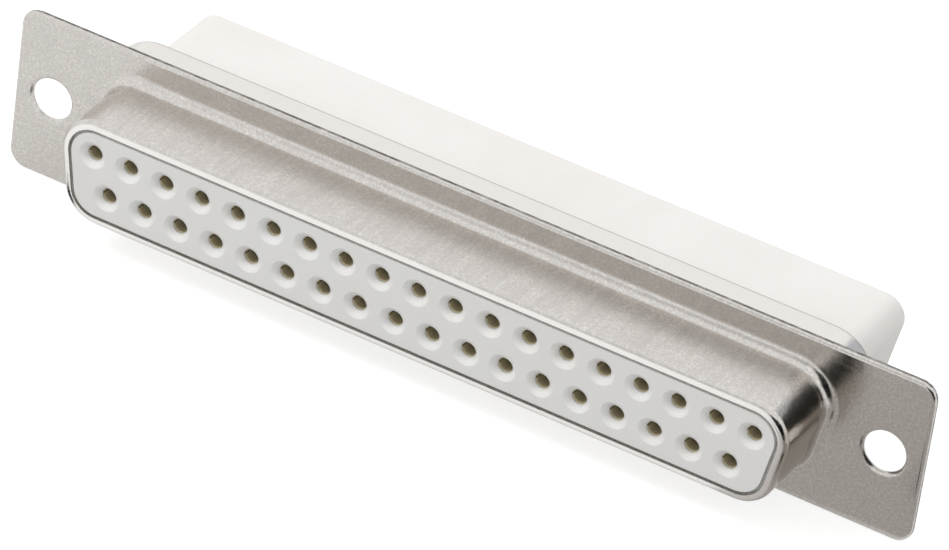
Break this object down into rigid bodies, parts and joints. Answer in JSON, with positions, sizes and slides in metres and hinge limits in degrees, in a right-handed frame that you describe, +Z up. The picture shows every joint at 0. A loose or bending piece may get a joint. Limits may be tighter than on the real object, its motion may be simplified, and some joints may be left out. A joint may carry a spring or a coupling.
{
  "type": "d-sub connector",
  "caption": "D-shaped socket connector: rows of contact holes in a pale insulator, a plated steel shell with a flat mounting flange and end holes, and a deep rear body.",
  "frame": {"origin": "centre of the flange's front face, the plane that lies against a panel", "axes": "+X along the flange, +Z up with the wide side of the D up, and the mating face looks towards -Y"},
  "size_m": [0.0694, 0.017, 0.0126],
  "materials": {
    "plated_steel": "satin tin plate with stamping and bending marks",
    "white_plastic": "moulded, slightly satin",
    "contact_gold": "thin gold plate over copper alloy"
  },
  "bodies": {
    "root": {"front_shell": "plated_steel", "rear_shell": "plated_steel", "front_insulator": "white_plastic", "rear_insulator": "white_plastic", "contact_01": "contact_gold", "contact_02": "contact_gold", "contact_03": "contact_gold", "contact_04": "contact_gold", "contact_05": "contact_gold", "contact_06": "contact_gold", "contact_07": "contact_gold", "contact_08": "contact_gold", "contact_09": "contact_gold", "contact_10": "contact_gold", "contact_11": "contact_gold", "contact_12": "contact_gold", "contact_13": "contact_gold", "contact_14": "contact_gold", "contact_15": "contact_gold", "contact_16": "contact_gold", "contact_17": "contact_gold", "contact_18": "contact_gold", "contact_19": "contact_gold", "contact_20": "contact_gold", "contact_21": "contact_gold", "contact_22": "contact_gold", "contact_23": "contact_gold", "contact_24": "contact_gold", "contact_25": "contact_gold", "contact_26": "contact_gold", "contact_27": "contact_gold", "contact_28": "contact_gold", "contact_29": "contact_gold", "contact_30": "contact_gold", "contact_31": "contact_gold", "contact_32": "contact_gold", "contact_33": "contact_gold", "contact_34": "contact_gold", "contact_35": "contact_gold", "contact_36": "contact_gold", "contact_37": "contact_gold"}
  },
  "joints": []
}
